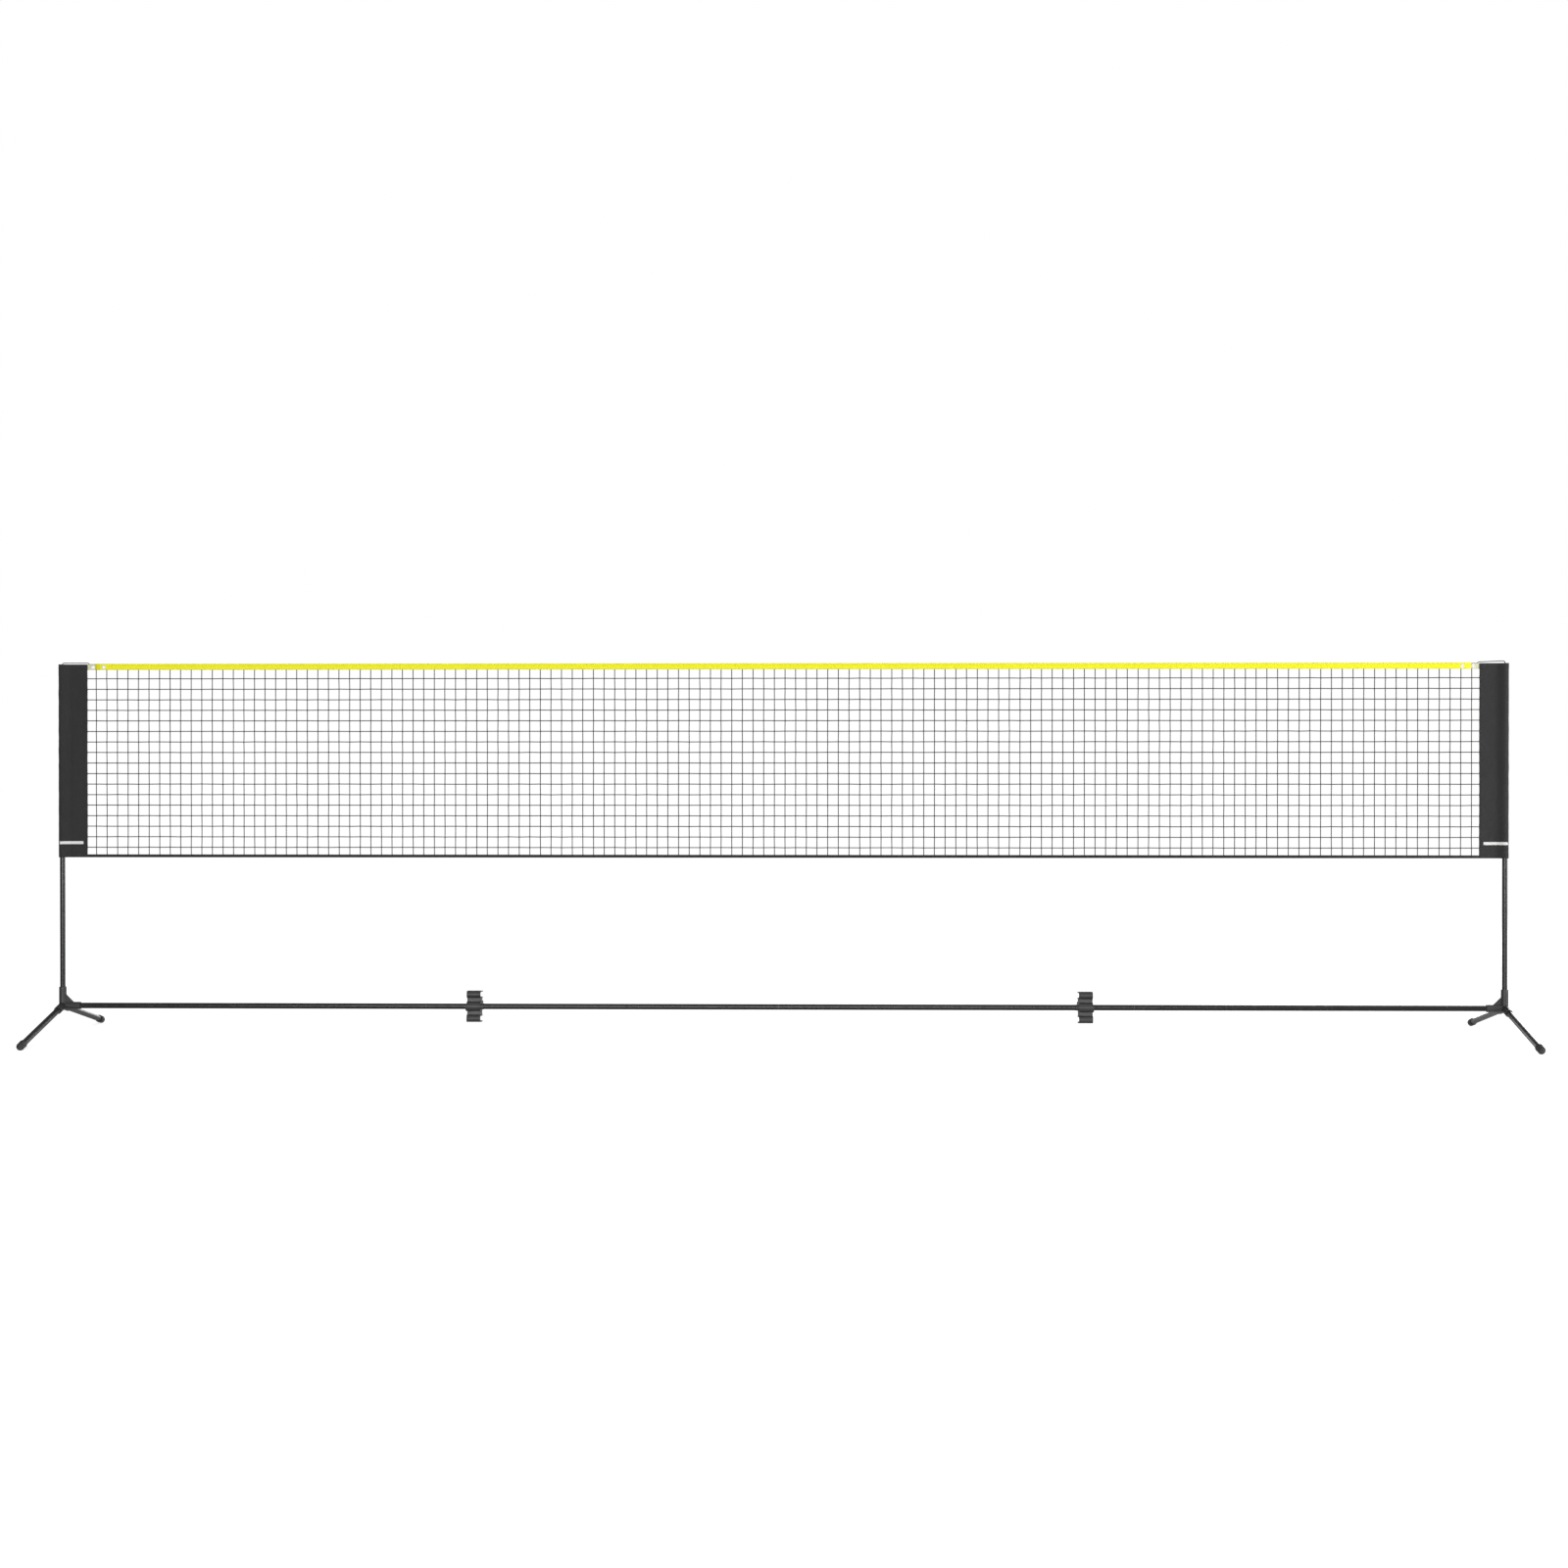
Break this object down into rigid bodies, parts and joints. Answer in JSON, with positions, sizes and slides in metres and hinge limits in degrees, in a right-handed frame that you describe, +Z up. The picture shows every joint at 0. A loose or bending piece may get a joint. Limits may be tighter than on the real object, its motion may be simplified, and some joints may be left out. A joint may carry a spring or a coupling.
{
  "type": "portable court net",
  "caption": "Portable net for small courts: knotted net between two telescoping posts, held apart by a floor rail with sloping feet.",
  "frame": {"origin": "on the floor, midway between the posts and below the net", "axes": "+X along the net to the right, +Y to the back, +Z up"},
  "size_m": [6.1056, 1.112, 1.5844],
  "materials": {
    "powder_black": "black powder coat on steel tube, satin with a fine orange peel",
    "moulded_black": "moulded nylon, matt with a fine spark-eroded grain",
    "foot_rubber": "matt black rubber",
    "plated_steel": "bright zinc plate",
    "net_cord": "twisted black polyethylene cord, knotted",
    "tape_yellow": "coated polyester tape, fluorescent yellow",
    "tape_cream": "pale webbing",
    "hem_black": "folded black binding tape",
    "sleeve_cloth": "coated oxford cloth, dark grey-black",
    "braid_black": "braided black cord",
    "eyelet_white": "white moulded eyelet"
  },
  "bodies": {
    "base": {"left_hub": "moulded_black", "right_hub": "moulded_black", "left_front_leg": "powder_black", "left_rear_leg": "powder_black", "right_front_leg": "powder_black", "right_rear_leg": "powder_black", "left_front_foot": "foot_rubber", "left_rear_foot": "foot_rubber", "right_front_foot": "foot_rubber", "right_rear_foot": "foot_rubber", "left_lower_post": "powder_black", "right_lower_post": "powder_black", "left_post_collar": "moulded_black", "right_post_collar": "moulded_black", "rail_left_outer": "powder_black", "rail_left_inner": "powder_black", "rail_right_inner": "powder_black", "rail_right_outer": "powder_black", "rail_joiners": "plated_steel", "leg_springs": "plated_steel", "socket_springs": "plated_steel", "rail_springs": "plated_steel", "joint_springs": "plated_steel"},
    "lift": {"left_upper_post": "powder_black", "right_upper_post": "powder_black", "left_post_cap": "moulded_black", "right_post_cap": "moulded_black", "left_post_glide": "moulded_black", "right_post_glide": "moulded_black", "height_springs": "plated_steel", "net_mesh": "net_cord", "head_tape": "tape_yellow", "head_cord": "braid_black", "tape_tabs": "tape_cream", "eyelets": "eyelet_white", "foot_tape": "hem_black", "left_sleeve": "sleeve_cloth", "right_sleeve": "sleeve_cloth", "left_tie_cord": "braid_black", "right_tie_cord": "braid_black"},
    "left_height_button": {"left_height_button": "plated_steel"},
    "right_height_button": {"right_height_button": "plated_steel"},
    "left_front_leg_button": {"left_front_leg_button": "plated_steel"},
    "left_rear_leg_button": {"left_rear_leg_button": "plated_steel"},
    "right_front_leg_button": {"right_front_leg_button": "plated_steel"},
    "right_rear_leg_button": {"right_rear_leg_button": "plated_steel"},
    "left_socket_button": {"left_socket_button": "plated_steel"},
    "right_socket_button": {"right_socket_button": "plated_steel"},
    "left_rail_button": {"left_rail_button": "plated_steel"},
    "right_rail_button": {"right_rail_button": "plated_steel"},
    "left_joint_button": {"left_joint_button": "plated_steel"},
    "centre_joint_button": {"centre_joint_button": "plated_steel"},
    "right_joint_button": {"right_joint_button": "plated_steel"},
    "left_clip": {"left_pole_clip": "moulded_black"},
    "right_clip": {"right_pole_clip": "moulded_black"}
  },
  "joints": [
    {"name": "net_height", "type": "slide", "parent": "base", "child": "lift", "axis": [0, 0, 1], "range_m": [-0.51, 0]},
    {"name": "left_height_press", "type": "slide", "parent": "lift", "child": "left_height_button", "axis": [0, 1, 0], "range_m": [-0.0032, 0], "stiffness_N_per_m": 1500, "springref_m": 0.002, "deforming": ["height_springs"]},
    {"name": "right_height_press", "type": "slide", "parent": "lift", "child": "right_height_button", "axis": [0, 1, 0], "range_m": [-0.0032, 0], "stiffness_N_per_m": 1500, "springref_m": 0.002, "deforming": ["height_springs"]},
    {"name": "left_front_leg_press", "type": "slide", "parent": "base", "child": "left_front_leg_button", "axis": [-1, 0, 0], "range_m": [-0.0054, 0], "stiffness_N_per_m": 1500, "springref_m": 0.002, "deforming": ["leg_springs"]},
    {"name": "left_rear_leg_press", "type": "slide", "parent": "base", "child": "left_rear_leg_button", "axis": [-1, 0, 0], "range_m": [-0.0054, 0], "stiffness_N_per_m": 1500, "springref_m": 0.002, "deforming": ["leg_springs"]},
    {"name": "right_front_leg_press", "type": "slide", "parent": "base", "child": "right_front_leg_button", "axis": [1, 0, 0], "range_m": [-0.0054, 0], "stiffness_N_per_m": 1500, "springref_m": 0.002, "deforming": ["leg_springs"]},
    {"name": "right_rear_leg_press", "type": "slide", "parent": "base", "child": "right_rear_leg_button", "axis": [1, 0, 0], "range_m": [-0.0054, 0], "stiffness_N_per_m": 1500, "springref_m": 0.002, "deforming": ["leg_springs"]},
    {"name": "left_socket_press", "type": "slide", "parent": "base", "child": "left_socket_button", "axis": [0, 1, 0], "range_m": [-0.0062, 0], "stiffness_N_per_m": 1500, "springref_m": 0.002, "deforming": ["socket_springs"]},
    {"name": "right_socket_press", "type": "slide", "parent": "base", "child": "right_socket_button", "axis": [0, 1, 0], "range_m": [-0.0062, 0], "stiffness_N_per_m": 1500, "springref_m": 0.002, "deforming": ["socket_springs"]},
    {"name": "left_rail_press", "type": "slide", "parent": "base", "child": "left_rail_button", "axis": [0, 1, 0], "range_m": [-0.0052, 0], "stiffness_N_per_m": 1500, "springref_m": 0.002, "deforming": ["rail_springs"]},
    {"name": "right_rail_press", "type": "slide", "parent": "base", "child": "right_rail_button", "axis": [0, 1, 0], "range_m": [-0.0052, 0], "stiffness_N_per_m": 1500, "springref_m": 0.002, "deforming": ["rail_springs"]},
    {"name": "left_joint_press", "type": "slide", "parent": "base", "child": "left_joint_button", "axis": [0, 1, 0], "range_m": [-0.0032, 0], "stiffness_N_per_m": 1500, "springref_m": 0.002, "deforming": ["joint_springs"]},
    {"name": "centre_joint_press", "type": "slide", "parent": "base", "child": "centre_joint_button", "axis": [0, 1, 0], "range_m": [-0.0032, 0], "stiffness_N_per_m": 1500, "springref_m": 0.002, "deforming": ["joint_springs"]},
    {"name": "right_joint_press", "type": "slide", "parent": "base", "child": "right_joint_button", "axis": [0, 1, 0], "range_m": [-0.0032, 0], "stiffness_N_per_m": 1500, "springref_m": 0.002, "deforming": ["joint_springs"]},
    {"name": "left_clip_turn", "type": "hinge", "parent": "base", "child": "left_clip", "pos_m": [-1.288, 0, 0.129], "axis": [1, 0, 0], "continuous": true},
    {"name": "right_clip_turn", "type": "hinge", "parent": "base", "child": "right_clip", "pos_m": [1.288, 0, 0.129], "axis": [1, 0, 0], "continuous": true}
  ]
}
